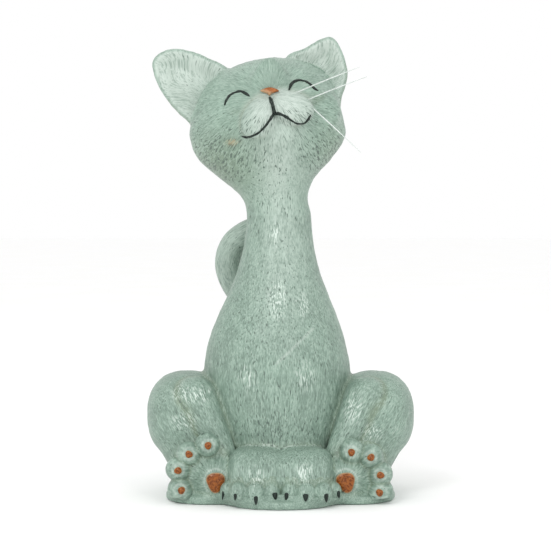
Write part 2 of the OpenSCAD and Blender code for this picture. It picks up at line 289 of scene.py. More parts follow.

# %% [markdown]
# ## The small glazes, the filament and the felt
#
# The paw pads and the nose are an orange-brown glaze laid on thick, so it is glossy and mottled. On the
# pads it thins to a lighter rim; the nose is painted pale on its lower left, a painted highlight. The
# eyelids, the mouth and the claws are drawn in green-black. The whiskers are nylon, which lets a little
# light through. The felt under the base has a fuzzy, broken surface.

# %% Small materials
def thick_glaze(name, dark, bright, roughness, shine):
    material, tree = new_material(name)
    mottle = noise(tree, attribute(tree, "spot", "Vector"), 0.9, 3.0, 0.6)
    colour = blend(tree, mottle.between(0.38, 0.62), dark, bright)
    # Paler where pale is set: the thin rim of the pads, and a painted highlight on the nose.
    colour = blend(tree, attribute(tree, "pale"), colour, srgb(190, 170, 136))
    finish_surface(tree, Base_Color=colour, Roughness=mottle * 0.12 + roughness,
                   Normal=bump(tree, mottle, 0.3, 0.0003),
                   Specular_IOR_Level=0.2, Coat_Weight=shine, Coat_Roughness=0.15)
    return material


pad_material = thick_glaze("pad_glaze", srgb(104, 50, 8), srgb(150, 84, 24), 0.22, 0.35)
nose_material = thick_glaze("nose_glaze", srgb(138, 78, 34), srgb(170, 104, 58), 0.34, 0.3)
line_material = thick_glaze("line_glaze", srgb(16, 26, 22), srgb(34, 46, 40), 0.4, 0.2)

nylon_material, tree = new_material("whisker_nylon")
streak = noise(tree, attribute(tree, "spot", "Vector"), 0.8)
finish_surface(tree, Base_Color=blend(tree, streak.between(0.4, 0.6), srgb(205, 214, 209), srgb(222, 229, 225)),
               Roughness=0.28, Transmission_Weight=0.25, IOR=1.5)

felt_material, tree = new_material("felt")
fuzz = noise(tree, node(tree, "ShaderNodeTexCoord", out="Object"), 1400.0, 4.0, 0.7)
finish_surface(tree, Base_Color=blend(tree, fuzz.between(0.35, 0.65), srgb(52, 62, 56), srgb(88, 98, 90)),
               Roughness=0.95, Normal=bump(tree, fuzz, 0.7, 0.0005), Sheen_Weight=0.4)
print("materials", len(bpy.data.materials))

# %% [markdown]
# ## Clay as a distance field
#
# Modelled clay has no sharp joints: where an ear meets the head the slip is smoothed with a wet finger.
# The easiest way to get that is a distance field. Each lump of clay is a function that gives the distance
# of a point from its surface, negative inside; a smooth minimum of two of them melts them together. The
# zero surface is then turned into a mesh. Sculpting by hand or metaballs could do the same, but a field
# can be written down, repeated and measured.

# %% Lumps of clay
def ellipsoid(p, middle, size):
    q = (p - middle) / size
    far = np.linalg.norm(q, axis=-1)
    return far * (far - 1) / np.maximum(np.linalg.norm(q / size, axis=-1), 1e-6)


def boxy(p, middle, size, power):
    """An ellipsoid with fuller shoulders, as a thumb leaves it."""
    q = np.abs((p - middle) / size)
    far = np.sum(q ** power, axis=-1) ** (1 / power)
    return (far - 1) * min(size)


def limb(p, start, end, r0, r1):
    start, end = np.array(start, float), np.array(end, float)
    along = end - start
    t = np.clip((p - start) @ along / (along @ along), 0, 1)
    return np.linalg.norm(p - start - t[..., None] * along, axis=-1) - (r0 + (r1 - r0) * t)


def turned(q, tilt):
    """x and z of points after a turn by some degrees in the x and z plane."""
    c, s = math.cos(math.radians(tilt)), math.sin(math.radians(tilt))
    return q[..., 0] * c + q[..., 2] * s, q[..., 2] * c - q[..., 0] * s


def egg(p, middle, tilt, size):
    q = p - middle
    x, z = turned(q, tilt)
    return ellipsoid(np.stack([x, q[..., 1], z], axis=-1), np.zeros(3), np.array(size, float))


def rounded(side, tall, ease):
    """A flat form with eased edges, from the distances to its outline and to its two faces."""
    side, tall = side + ease, tall + ease
    return np.hypot(np.maximum(side, 0), np.maximum(tall, 0)) + np.minimum(np.maximum(side, tall), 0) - ease


def melt(a, b, soft):
    """The smooth minimum: soft is how wide the wet finger was, in millimetres."""
    h = np.clip(0.5 + 0.5 * (b - a) / soft, 0, 1)
    return b + (a - b) * h - soft * h * (1 - h)


def melt_in(whole, p, lumps, soft):
    for lump in lumps:
        whole = melt(whole, lump(p), soft)
    return whole


print("where two lumps touch, a 4 mm finger adds", -float(melt(0.0, 0.0, 4.0)), "mm of clay")

# %% [markdown]
# ## From field to mesh
#
# A surface net looks at a grid of samples, puts one point into each cell that the surface crosses, and
# joins the points of neighbouring cells with quads. The points are then pulled onto the true surface with
# the field's own gradient, which takes the stair steps away. Marching cubes would give triangles of many
# sizes; the net gives even quads, which carry the fur relief better.

# %% Surface net
CORNERS = [(i, j, k) for i in (0, 1) for j in (0, 1) for k in (0, 1)]
EDGES = [(a, b) for a in CORNERS for b in CORNERS
         if sum(b) - sum(a) == 1 and all(y >= x for x, y in zip(a, b))]


def surface_net(values, low, step):
    inside = values < 0
    size = np.array(values.shape) - 1
    count = sum(inside[i:i + size[0], j:j + size[1], k:k + size[2]].astype(np.int8) for i, j, k in CORNERS)
    active = (count > 0) & (count < 8)
    cells = np.argwhere(active)
    number = -np.ones(active.shape, dtype=np.int64)
    number[active] = np.arange(len(cells))
    total, hits = np.zeros((len(cells), 3)), np.zeros(len(cells))
    for a, b in EDGES:
        va, vb = (values[tuple((cells + c).T)] for c in (a, b))
        crossed = (va < 0) != (vb < 0)
        t = np.where(crossed, va / np.where(crossed, va - vb, 1), 0)
        total += np.where(crossed[:, None], np.array(a) + t[:, None] * (np.array(b) - np.array(a)), 0)
        hits += crossed
    points = low + step * (cells + total / hits[:, None])
    quads = []
    for axis in range(3):
        first, second = [slice(None)] * 3, [slice(None)] * 3
        first[axis], second[axis] = slice(0, -1), slice(1, None)
        cut = inside[tuple(first)] != inside[tuple(second)]
        at = np.argwhere(cut)
        u, v = [k for k in range(3) if k != axis]
        at = at[(at[:, u] > 0) & (at[:, v] > 0) & (at[:, u] < size[u]) & (at[:, v] < size[v])]
        ring = []
        for du, dv in ((1, 1), (0, 1), (0, 0), (1, 0)):
            c = at.copy()
            c[:, u] -= du
            c[:, v] -= dv
            ring.append(number[tuple(c.T)])
        quad = np.stack(ring, axis=1)
        flip = inside[tuple(at.T)] == (axis == 1)
        quad[flip] = quad[flip][:, ::-1]
        quads.append(quad)
    return points, np.concatenate(quads)


print("edges of a cell", len(EDGES))

# %% Pull the points onto the surface
def gradient(field, p, h=0.05):
    steps = np.eye(3) * h
    return np.stack([(field(p + s) - field(p - s)) / (2 * h) for s in steps], axis=-1)


def settle(field, p, rounds=2, limit=0.5):
    for _ in range(rounds):
        g = gradient(field, p)
        move = -field(p)[:, None] * g / np.maximum(np.sum(g * g, axis=1), 0.05)[:, None]
        p = p + np.clip(move, -limit, limit)
    return p


def solidify(field, low, high, step):
    """Meshes the zero surface of a field inside a box."""
    low = np.array(low, float) - 2 * step
    count = np.ceil((np.array(high) - low) / step).astype(int) + 3
    axes = [low[i] + step * np.arange(count[i]) for i in range(3)]
    values = np.empty(count)
    for i, x in enumerate(axes[0]):
        sheet = np.empty((count[1], count[2], 3))
        sheet[..., 0], sheet[..., 1], sheet[..., 2] = x, axes[1][:, None], axes[2][None, :]
        values[i] = field(sheet)
    points, quads = surface_net(values, low, step)
    return settle(field, points), quads


test_points, test_quads = solidify(lambda p: np.linalg.norm(p, axis=-1) - 4.0, [-5] * 3, [5] * 3, 1.0)
print("a test ball has", len(test_points), "points and", len(test_quads), "quads")

# %% [markdown]
# ## Combed relief
#
# The comb cuts real grooves, so the larger strokes go into the mesh itself and only the finest ones are
# left to the bump. A value noise in numpy is read at the same stretched `comb` vector that the glaze
# uses, and the points are pushed along their normals by about an eighth of a millimetre.

# %% Value noise
def value_noise(p, seed=0):
    base = np.floor(p).astype(np.int64)
    part = p - base
    part = part * part * (3 - 2 * part)
    total = 0
    for i, j, k in CORNERS:
        h = ((base[:, 0] + i) * 73856093) ^ ((base[:, 1] + j) * 19349663)
        h = h ^ ((base[:, 2] + k) * 83492791) ^ (seed * 2654435)
        h = (h ^ (h >> 13)) * 1274126177
        h = ((h ^ (h >> 16)) & 0xFFFF) / 65535.0
        weight = np.prod(np.where(np.array([i, j, k]) == 1, part, 1 - part), axis=1)
        total = total + h * weight
    return total


def strokes(comb, width):
    return 0.65 * value_noise(comb / width, 1) + 0.35 * value_noise(comb / (0.55 * width), 2)


print("noise at two places", value_noise(np.array([[0.5, 1.5, 2.5], [9.1, 3.3, 4.4]])).round(2))

# %% Put a mesh into the scene
def normals_of(points, quads):
    a, b, c, d = (points[quads[:, i]] for i in range(4))
    face = np.cross(c - a, d - b)
    total = np.zeros_like(points)
    for i in range(4):
        np.add.at(total, quads[:, i], face)
    return total / np.maximum(np.linalg.norm(total, axis=1), 1e-9)[:, None]


def add_mesh(name, points, faces, material, nodes, attributes=None):
    """Makes the object, gives it its attributes and glaze, and lets it ride in place of its CAD nodes."""
    mesh = bpy.data.meshes.new(name)
    mesh.from_pydata((points / MM).tolist(), [], faces.tolist() if isinstance(faces, np.ndarray) else faces)
    mesh.polygons.foreach_set("use_smooth", [True] * len(mesh.polygons))
    for key, value in {"spot": points, **(attributes or {})}.items():
        kind = "FLOAT_VECTOR" if np.ndim(value) == 2 else "FLOAT"
        layer = mesh.attributes.new(key, kind, "POINT")
        layer.data.foreach_set("vector" if kind == "FLOAT_VECTOR" else "value", np.ravel(value).astype(np.float32))
    mesh.materials.append(material)
    obj = bpy.data.objects.new(name, mesh)
    scene.collection.objects.link(obj)
    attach(obj, "root")
    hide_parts(*nodes)
    print(f"{name}: {len(points)} points, {np.ptp(points, axis=0).round(1)} mm")


FULL_STROKE = 0.25  # how far the noise strays from its middle where a stroke is at its full depth


def relief_shade(lift):
    """The strokes' height as the glaze reads it, from 0 in a groove to 1 on a ridge."""
    return np.clip(0.5 + 0.35 * lift, 0, 1)


def furry(name, nodes, field, box, step, comb, material=fur_material, slot="fur_glaze",
          relief=0.12, width=1.6, turn=None, **marks):
    """A piece of clay with combed strokes: field to mesh, relief along the normals, attributes for the glaze.
    comb is one direction of fur, or two, and then turn says where the second takes over."""
    points, quads = solidify(field, *box, step)
    normals = normals_of(points, quads)
    ways = comb if isinstance(comb, tuple) else (comb,)
    shown = {"comb": ways[0](points)}
    depth = strokes(shown["comb"], width)
    if turn:
        shown["comb_b"], shown["turn"] = ways[1](points), turn(points)
        depth = depth + (strokes(shown["comb_b"], width) - depth) * shown["turn"]
    lift = np.clip((depth - 0.5) / FULL_STROKE, -1, 1)
    for key, mark in {"pale": None, "pool": None, "speck": specks, "highlight_dab": painted_highlights, **marks}.items():
        shown[key] = mark(points) if mark else np.zeros(len(points))
    moved = points + normals * (relief * lift * (1 - 0.7 * shown["pool"]))[:, None]
    shown["relief"] = relief_shade(lift)
    add_mesh(name, moved, quads, material, nodes, shown)


print("the glaze reads a groove as", relief_shade(-1.0), "and a ridge as", relief_shade(1.0))

# %% Where the brush went
def fade(distance, width):
    """1 at no distance, a third at one width, nothing at three."""
    return np.exp(-(distance / width) ** 2)


def patch(p, x, z, wide, tall):
    return fade(p[:, 0] - x, wide) * fade(p[:, 2] - z, tall)


def spots(p, places):
    """Soft patches: each is x, z, half-width, half-height and strength, on the front of the figure."""
    total = np.zeros(len(p))
    for *place, strength in places:
        total = np.maximum(total, strength * patch(p, *place))
    return total * np.clip((8 - p[:, 1]) / 16, 0, 1)


# Where white highlight dashes are painted on the front: the neck, the sides of the belly, the haunches and the paws.
HIGHLIGHT_DABS = [(-1.5, 106, 5, 11, 1.0), (11.5, 103, 4, 10, 0.6), (13, 66, 6, 9, 0.7), (-16, 64, 5, 9, 0.6),
       (-3, 140, 4, 12, 0.6), (-46, 56, 13, 5, 0.8), (-51, 42, 9, 6, 0.7), (38, 49, 6, 9, 0.8),
       (48, 36, 8, 6, 0.7), (-12.5, 16, 5, 6, 0.8), (11.5, 17, 5, 6, 0.8), (41, 16, 3, 4, 0.3),
       (-40, 14, 3, 4, 0.3)]
# On the jaw and under the chin the dark dashes lie thicker where shade falls: painted shade over the glaze's own dark
# specks.
DARK_DASHES = [(-30, 178, 20, 15, 1.0), (24, 182, 14, 14, 0.8), (-8, 165, 14, 16, 0.5), (0, 38, 22, 16, 0.6),
               (-12, 88, 12, 30, 0.4), (10, 85, 24, 26, 0.2), (-13, 197, 7, 5, 0.7), (10, 201, 8, 4, 0.6)]


# A painted highlight: how much of the white dashes to paint at each point.
def painted_highlights(p):
    return spots(p, HIGHLIGHT_DABS)


def specks(p):
    calm = np.clip((p[:, 2] - 205) / 12, 0, 1) * np.clip((4 - p[:, 1]) / 10, 0, 1)
    return np.clip(0.3 + spots(p, DARK_DASHES), 0, 1) * (1 - 0.8 * calm)


# The white dashes counted here are painted highlights.
print("wet dabs", len(HIGHLIGHT_DABS), "dark patches", len(DARK_DASHES))

# %% [markdown]
# ## The skin of body, neck and head
#
# Body and head make one long bottle: a full belly, a stretched neck, a wide head set a little to one side.
# A handful of cross-sections, each an ellipse at a height, with a smooth curve through them, gives that
# bottle. The widths are shares of the CAD torso and head boxes.

# %% Cross-sections
torso_low, torso_high = box_mm("torso_shell")
head_low, head_high = box_mm("head_shell")
BELLY = (torso_high[0] - torso_low[0]) / 2
CHEEK = (head_high[0] - head_low[0]) / 2
NECK = 0.443 * BELLY
CROWN = head_high[2]
ROWS = np.array([
    [-4, 0, 0.74 * BELLY, 4.5, 0.75 * BELLY],
    [SLAB_TOP, 0, 0.79 * BELLY, 4.5, 0.80 * BELLY],
    [14, -0.4, 0.86 * BELLY, 4, 0.89 * BELLY],
    [30, -1, 0.925 * BELLY, 3.2, 0.965 * BELLY],
    [48, -1.5, 0.98 * BELLY, 2, 1.01 * BELLY],
    [66, -1.8, BELLY, 0.8, 0.99 * BELLY],
    [81, -2, 0.935 * BELLY, -0.2, 0.905 * BELLY],
    [94, -1.7, 0.825 * BELLY, -0.7, 0.79 * BELLY],
    [107, -1.3, 0.685 * BELLY, -1, 0.67 * BELLY],
    [120, -1.1, 1.26 * NECK, -1, 1.29 * NECK],
    [135, -0.9, 1.06 * NECK, -0.7, 1.1 * NECK],
    [NECK_JOINT, -0.9, 0.98 * NECK, -0.3, 1.02 * NECK],
    [160, -3.4, 1.03 * NECK, 0, 1.06 * NECK],
    [170, -7.4, 0.615 * CHEEK, -0.5, 0.55 * CHEEK],
    [180, -8.5, 0.85 * CHEEK, -2.5, 0.69 * CHEEK],
    [192, -7.0, 0.99 * CHEEK, -3.8, 0.81 * CHEEK],
    [204, -6.8, 0.945 * CHEEK, -4, 0.88 * CHEEK],
    [216, -6.0, 0.84 * CHEEK, -2.5, 0.845 * CHEEK],
    [225, -4.2, 0.68 * CHEEK, -0.8, 0.71 * CHEEK],
    [CROWN - 4.4, -3.2, 0.375 * CHEEK, 0.2, 0.43 * CHEEK],
    [CROWN - 1.4, -3.2, 0.4, 0.5, 0.4],
])


def curve_through(padded, per_row):
    """A Catmull-Rom curve from the second row to the last but one."""
    fine = []
    for a, b, c, d in zip(padded, padded[1:], padded[2:], padded[3:]):
        for t in np.arange(per_row) / per_row:
            square, cube = 2 * a - 5 * b + 4 * c - d, 3 * b - a - 3 * c + d
            fine.append(0.5 * (2 * b + t * (c - a) + t * t * square + t ** 3 * cube))
    return fine


def smooth_rows(rows, per_row=12):
    padded = np.vstack([2 * rows[0] - rows[1], rows, 2 * rows[-1] - rows[-2]])
    return np.array(curve_through(padded, per_row) + [rows[-1]])


SKIN = smooth_rows(ROWS)


def skin(p):
    z = p[..., 2]
    mx, rx, my, ry = (np.interp(z, SKIN[:, 0], SKIN[:, i]) for i in (1, 2, 3, 4))
    u, v = (p[..., 0] - mx) / rx, (p[..., 1] - my) / ry
    far = np.sqrt(u * u + v * v)
    flat = far * (far - 1) / np.maximum(np.sqrt((u / rx) ** 2 + (v / ry) ** 2), 1e-6)
    lean = np.interp(z, SKIN[:, 0], np.abs(np.gradient(SKIN[:, 2], SKIN[:, 0])))
    side = flat / np.sqrt(1 + np.minimum(lean, 2.5) ** 2)
    return np.maximum(side, z - CROWN + 1.4)


print("belly", round(BELLY, 1), "cheek", round(CHEEK, 1), "neck", round(NECK, 1), "mm half-widths")

# %% [markdown]
# ## Hind legs, feet and paws as lumps
#
# The haunches are fat pebbles leaning on the belly, with the folded shin as a ridge in front. Each hind
# foot is a paddle that stands up on its heel with its sole to the front: a mound round the heel pad, and
# four round toes on the rim. The front paws are low slopes of clay that run together in the middle, with
# four small toes each on an arc. Everything is described on the cat's left and mirrored by flipping x.

# %% Leg lumps
HEEL = middle_of("left_heel_pad")
TOES = [middle_of(f"left_hind_toe_{i}") for i in (1, 2, 3, 4)]
TOES[3] = TOES[3] - [0, 0, 1.0]
TOE_R = (box_mm("left_hind_toe_1")[1][0] - box_mm("left_hind_toe_1")[0][0]) / 2
haunch_low, haunch_high = box_mm("left_haunch")
HAUNCH = np.array([haunch_high[0] - 20.6, -3.0, haunch_high[2] - 23.2])


def thigh(p):
    pebble = boxy(p, HAUNCH, (21.4, 29.5, 23.2), 2.4)
    calf = ellipsoid(p, (44.0, -15.0, 25.0), (17.6, 18.0, 17.5))
    return melt(pebble, calf, 5.0)


def fold(p):
    """The shin of the folded leg, which lies on the thigh as a ridge."""
    return limb(p, (45.5, -21.0, 52.0), (30.0, -30.5, 25.0), 12.6, 6.6)


def haunch(p):
    return melt(thigh(p), fold(p), 1.0)


def sole(p):
    paddle = boxy(p, (40.6, -30.0, 15.6), (13.6, 11.6, 14.4), 2.6)
    mound = ellipsoid(p, HEEL + [1.6, 5.0, 1.4], (10.5, 8.6, 11.0))
    return melt(paddle, mound, 1.6)


TOE_SHIFTS = {1: [(0, -2.6), (1.0, -0.7), (0.5, -1.4), (0.6, -1.2)],
              -1: [(1.0, 0.9), (1.8, 0.9), (2.0, 1.0), (0.8, 0)]}


def toe_place(i, sign):
    """No two feet are pressed alike: each toe sits a little outward and up or down of its CAD place."""
    outward, up = TOE_SHIFTS[sign][i]
    return TOES[i] + [outward, 0, up]


def hind_toe(p, i, sign):
    return ellipsoid(p, toe_place(i, sign) - [0, 1.0, 0], np.array([TOE_R, TOE_R + 0.8, TOE_R]) * 0.98)


print("toe radius", round(TOE_R, 1), "heel pad at", HEEL.round(1))

# %% Paw lumps
ARC = np.array([14.8, -43.5, 7.8])
TURNS = (-49, -8, 33, 74)


def heading(turn):
    """A flat direction: 0 degrees is forward, and more turns it to the cat's left."""
    return np.array([math.sin(math.radians(turn)), -math.cos(math.radians(turn)), 0.0])


FRONT_TOES = [ARC + 13.0 * heading(turn) for turn in TURNS]


def paw(p):
    q = np.abs((p - [12.9, -35.5, 12.2]) / [14.4, 18.0, 16.6])
    far = (q[..., 0] ** 4.4 + (q[..., 1] ** 2 + q[..., 2] ** 2) ** 2.2) ** (1 / 4.4)
    return (far - 1) * 14.4


def front_toe(p, i):
    return ellipsoid(p, FRONT_TOES[i], np.array([4.9, 5.4, 5.6]) * (0.86 if i == 3 else 1.0))


FLOOR_GAP = 0.15  # the felt stands this much proud of the base


def slab(p):
    """The base: rounded discs under the body, the paws and the feet."""
    x, y = np.abs(p[..., 0]), p[..., 1]
    plan = melt(np.hypot(x, y + 30) - 32.3, np.hypot(x, y - 8) - 38.0, 5.0)
    plan = melt(plan, np.hypot(x - 38, y + 23) - 22.5, 5.0)
    low, high = FLOOR_GAP, SLAB_TOP
    return rounded(plan, np.abs(p[..., 2] - (low + high) / 2) - (high - low) / 2, 1.4)


print("front toes at", [t.round(0).tolist() for t in FRONT_TOES])

# %% [markdown]
# ## Fusing neighbours
#
# A real seam between two clay pieces is a soft valley. For each piece, its own lump and its neighbours'
# lumps are melted together, and the piece keeps only the part of that fused body that lies within a
# millimetre or so of its own lump. Neighbouring pieces overlap inside the clay, where nobody sees it, and
# a hair's inset keeps their outer faces from lying in exactly the same place.

# %% Fuse and keep
def fused(own, others, reach=1.3, inset=0.0):
    """others is a list of neighbour lumps, each with the width of the finger that smoothed its seam."""
    def field(p):
        mine = own(p)
        near = mine < reach + 2.0
        result = mine - reach
        if near.any():
            q, whole = p[near], mine[near]
            for other, soft in others:
                whole = melt(whole, other(q), soft)
            result[near] = np.maximum(whole + inset, mine[near] - reach)
        return result
    return field


def plain(function, *extra):
    return lambda p: function(p, *extra)


def flipped(function, *extra):
    """The same lump on the cat's right side."""
    return lambda p: function(p * [-1.0, 1.0, 1.0], *extra)


SIDES = ((plain, "left", 1), (flipped, "right", -1))


def on_slab(lump, depth=0.6):
    """A lump cut level just inside the base."""
    return lambda p: np.maximum(lump(p), SLAB_TOP - depth - p[..., 2])


print("sides", [name for side, name, sign in SIDES])

# %% How the fur lies
def unit(v):
    return v / np.linalg.norm(v, axis=-1, keepdims=True)


def comb_down(lean=(0.0, 0.0), ratio=5.0):
    """Straight strokes that run down, leaning in x and y."""
    along = unit(np.array([*lean, -1.0]))
    return lambda p: p - (1 - 1 / ratio) * (p @ along)[..., None] * along


def comb_out(middle, axis, spread, ratio=5.0, wave=0.0):
    """Strokes that fan out from a pole, as fur does from the nose or the heel of a foot. wave bends them."""
    axis = unit(np.array(axis, float))
    side = unit(np.cross(axis, [0.0, 0.0, 1.0]))
    up = np.cross(side, axis)

    def comb(p):
        q = p - np.array(middle)
        a, b, c = q @ side, q @ up, q @ axis
        turn, ring = np.arctan2(b, a), np.hypot(a, b)
        turn = turn + wave * np.sin(ring / 4.5 + 3.0 * turn) * np.clip(ring / 12, 0, 1)
        tilt = np.arctan2(ring, c)
        return np.stack([spread * np.cos(turn), spread * np.sin(turn), tilt * np.hypot(ring, c) / ratio], axis=-1)
    return comb


def ramp(value, low, high):
    t = np.clip((value - low) / (high - low), 0, 1)
    return t * t * (3 - 2 * t)


def crease(*lumps, width=2.2, amount=0.55):
    """How much darker the glaze is painted where a piece meets its neighbours, for glaze pooled in the seam and for
    painted shade in the crease: most at the seam, gone a few millimetres away.
    """
    return lambda p: amount * fade(np.min([np.abs(lump(p)) for lump in lumps], axis=0), width)


body_comb = comb_down()
print("comb vectors ready")

# %% [markdown]
# ## The torso
#
# The belly and neck are one hollow casting. Its strokes run straight down. A pale strip runs down the front
# of the neck and the middle of the chest, partly dry brush and partly a painted highlight, and a slip of the
# tool left a pale line on the belly.

# %% Torso
def chest_light(p):
    slip = 0.38 * fade(limb(p * [1, 0, 1], (-2, 0, 73), (17, 0, 90.5), 0, 0), 0.8)
    # Paler down the front and middle of the chest and neck: partly dry brush, partly a painted highlight.
    return ramp(-p[:, 1], 2, 20) * np.maximum(0.32 * ramp(p[:, 2], 60, 150) * fade(p[:, 0] - 2, 15), slip)


leg_lumps = [(side(lump), soft) for side, *_ in SIDES for lump, soft in ((haunch, 3.0), (paw, 4.0), (sole, 2.0))]
# The belly is painted darker where the legs meet it: pooled glaze and painted shade in the crease.
furry("torso", ["torso_shell"], fused(lambda p: np.maximum(skin(p), p[..., 2] - NECK_JOINT), leg_lumps, reach=1.1),
      (torso_low - [4, 1, 1], torso_high + 1), 0.75, body_comb,
      pale=chest_light, pool=crease(*[lump for lump, soft in leg_lumps], amount=0.45))

# %% [markdown]
# ## The face
#
# The cat lifts its chin and tilts its head, so the face has its own axes: u runs to the cat's left and v up
# the face, both from the nose, and rolled twelve degrees. Lids, the bridge of the nose, the chin and the
# two whisker pads are lumps placed with u and v. The pads aren't balls: the cat's left one is a leaf that
# lies along the smile, the right one hangs down, because the head is turned a little.

# %% Face axes
ROLL = 12.0
NOSE = middle_of("nose") + [0.0, 0.6, 0.0]


def face(u, v, y=0.0):
    c, s = math.cos(math.radians(ROLL)), math.sin(math.radians(ROLL))
    return np.array([NOSE[0] + u * c - v * s, y, NOSE[2] + u * s + v * c])


# Middle, tilt and size of each pad.
PADS = {1: (face(8.2, -11.0, -41.2), -16, (11.8, 8.8, 8.0)), -1: (face(-9.0, -12.2, -40.8), 54, (12.0, 8.8, 8.0))}


def whisker_pad(p, sign):
    return egg(p, *PADS[sign])


def bulge(p, sign):
    """The round cheek that a smile pushes up under the eye."""
    return ellipsoid(p, face(17.2 * sign, -4.6 - 0.8 * sign, -31.8), (8.8, 7.6, 6.2))


def face_lumps(p):
    """The head with everything on it except ears and whisker pads."""
    whole = melt(skin(p), ellipsoid(p, face(0, 5, -36.0), (8.5, 6.6, 12.0)), 7.0)
    for sign in (1, -1):
        whole = melt(whole, bulge(p, sign), 2.4)
        whole = melt(whole, ellipsoid(p, face(24 * sign, -15, -24), (9.0, 8.5, 9.0)), 8.0)
    return melt(whole, ellipsoid(p, face(0.0, -21, -33.6), (9.5, 7.0, 7.5)), 6.0)


print("nose at", NOSE.round(1), "pads at", [PADS[sign][0].round(1).tolist() for sign in PADS])

# %% [markdown]
# ## Outlines
#
# The ears and the nose have outlines that no ellipse gives. Such an outline is a closed smooth curve
# through a few points, given as shares of the CAD piece's box. Its distance is worked out once on a fine
# flat grid and then only looked up, which keeps the big fields fast.

# %% Outline from a few points
class Outline:
    def __init__(self, node_name, shares, cell=0.35, margin=14.0):
        low, high = box_mm(node_name)
        size = (high - low)[[0, 2]]
        loop = np.array(shares) * size + low[[0, 2]]
        self.line = np.array(curve_through(np.vstack([loop[-1:], loop, loop[:2]]), 8))
        self.low, self.cell = self.line.min(0) - margin, cell
        count = np.ceil((self.line.max(0) + margin - self.low) / cell).astype(int) + 2
        sides = [self.low[i] + cell * np.arange(count[i]) for i in (0, 1)]
        grid = np.stack(np.meshgrid(*sides, indexing="ij"), axis=-1)
        near, odd = np.full(grid.shape[:2], 1e9), np.zeros(grid.shape[:2], bool)
        for a, b in zip(self.line, np.roll(self.line, -1, axis=0)):
            along, q = b - a, grid - a
            t = np.clip(q @ along / (along @ along), 0, 1)
            near = np.minimum(near, np.linalg.norm(q - t[..., None] * along, axis=-1))
            straddles = (a[1] > grid[..., 1]) != (b[1] > grid[..., 1])
            odd ^= straddles & (q[..., 0] < along[0] * q[..., 1] / (along[1] if along[1] else 1e-9))
        self.table = np.where(odd, -near, near)

    def __call__(self, p):
        q = (p[..., [0, 2]] - self.low) / self.cell
        inside = np.clip(q, 0, np.array(self.table.shape) - 1.001)
        cell = inside.astype(int)
        (col, row), (right, up) = (np.moveaxis(part, -1, 0) for part in (cell, inside - cell))
        near, far = (self.table[col, row + k] * (1 - right) + self.table[col + 1, row + k] * right for k in (0, 1))
        return near * (1 - up) + far * up + self.cell * np.linalg.norm(q - inside, axis=-1)


EARS = {
    1: Outline("left_ear", [(-0.10, 0.60), (0.25, 0.80), (0.44, 0.92), (0.59, 0.985), (0.69, 1.0), (0.775, 0.955),
                            (0.845, 0.86), (0.925, 0.675), (0.98, 0.50), (1.01, 0.31), (0.995, 0.17), (0.96, 0.03),
                            (0.91, -0.11), (0.80, -0.36), (0.45, -0.30), (0.05, 0.15)]),
    -1: Outline("right_ear", [(1.02, 0.73), (0.75, 0.89), (0.61, 0.95), (0.465, 0.99), (0.31, 1.005),
                              (0.185, 0.985), (0.075, 0.925), (0.015, 0.855), (0.002, 0.785), (0.022, 0.675),
                              (0.073, 0.55), (0.135, 0.43), (0.225, 0.305), (0.325, 0.19), (0.425, 0.10),
                              (0.545, 0.02), (0.85, -0.05), (1.05, 0.30)]),
}
print("ear widths", [round(np.ptp(outline.line[:, 0])) for outline in EARS.values()], "mm")

# %% [markdown]
# ## Ears
#
# Each ear is a leaf of clay, bent into a cup that opens to the front, with a rolled rim and a rounded
# back. The cup has long pale strokes that fan from its root, with darker hollows between them. The front
# and the back face each follow the distance from the outline, so that rim, cup and back fit together.

# %% Ear shape
CUP = {1: 5.6, -1: 4.4}  # how deep each ear is scooped, in millimetres
EAR_SEAM, PAD_SEAM = 4.5, 2.0  # how wide a finger smoothed them onto the head


def ear(p, sign):
    plan = EARS[sign](p)
    deep = -plan
    front = 1.0 + CUP[sign] * ramp(deep, 1.6, 12.0) - 0.35 * ramp(deep, 0.4, 1.4) * (1 - ramp(deep, 2.2, 4.0))
    back = 4.6 + 6.4 * ramp(deep, 0.0, 14.0)
    return rounded(plan, np.abs(p[..., 1] - (front + back) / 2) - (back - front) / 2, 1.7)


ear_lumps = [plain(ear, 1), plain(ear, -1)]
pad_lumps = [plain(whisker_pad, 1), plain(whisker_pad, -1)]
print("an ear is", 4.6 - 1.0, "mm thick at its rim")

# %% [markdown]
# ## The head
#
# Fur on a cat's face starts at the nose and runs outward, over the brow, the cheeks and the chin, and at the
# jaw and behind the ears it turns down. That is where the second comb direction comes in.

# %% Head
HEAD_MIDDLE = np.array([-6.0, -2.0, 203.0])
nose_axis = NOSE + np.array([0, 0, -3.0]) - HEAD_MIDDLE
face_comb = comb_out(HEAD_MIDDLE, nose_axis, 30.0)


def face_turn(p):
    q = p - HEAD_MIDDLE
    tilt = np.arccos(np.clip(unit(q) @ unit(nose_axis), -1, 1))
    return (1 - ramp(tilt, 1.8, 2.4)) * ramp(p[:, 2] + 0.3 * p[:, 1], 150, 172)


def face_light(p):
    """The dry brush caught the muzzle, the chin, the throat and the edges beside the ears. The front of the neck
    carries the chest's strip, partly a painted highlight, and the cat's right whisker pad is painted less pale
    towards its outer edge, a painted shade.
    """
    x, y, z = p.T
    throat = 0.55 * fade(x + 1, 12) * ramp(-y, 4, 26) * (1 - ramp(z, 200, 212))
    neck = chest_light(p) * (1 - ramp(z, 176, 190))
    left, right = (fade(np.maximum(pad(p), 0), 5 ** 0.5) for pad in pad_lumps)
    left, right = 0.8 * left * (1 - 0.3 * ramp(x, 4, 17)), 0.74 * right * (0.45 + 0.55 * ramp(x, -20, -8))
    by_ears = 0.42 * fade(np.min([np.abs(lump(p)) for lump in ear_lumps], axis=0), 3) * (y < 4)
    return np.clip(np.max([throat, neck, left, right, by_ears], axis=0), 0, 0.85)


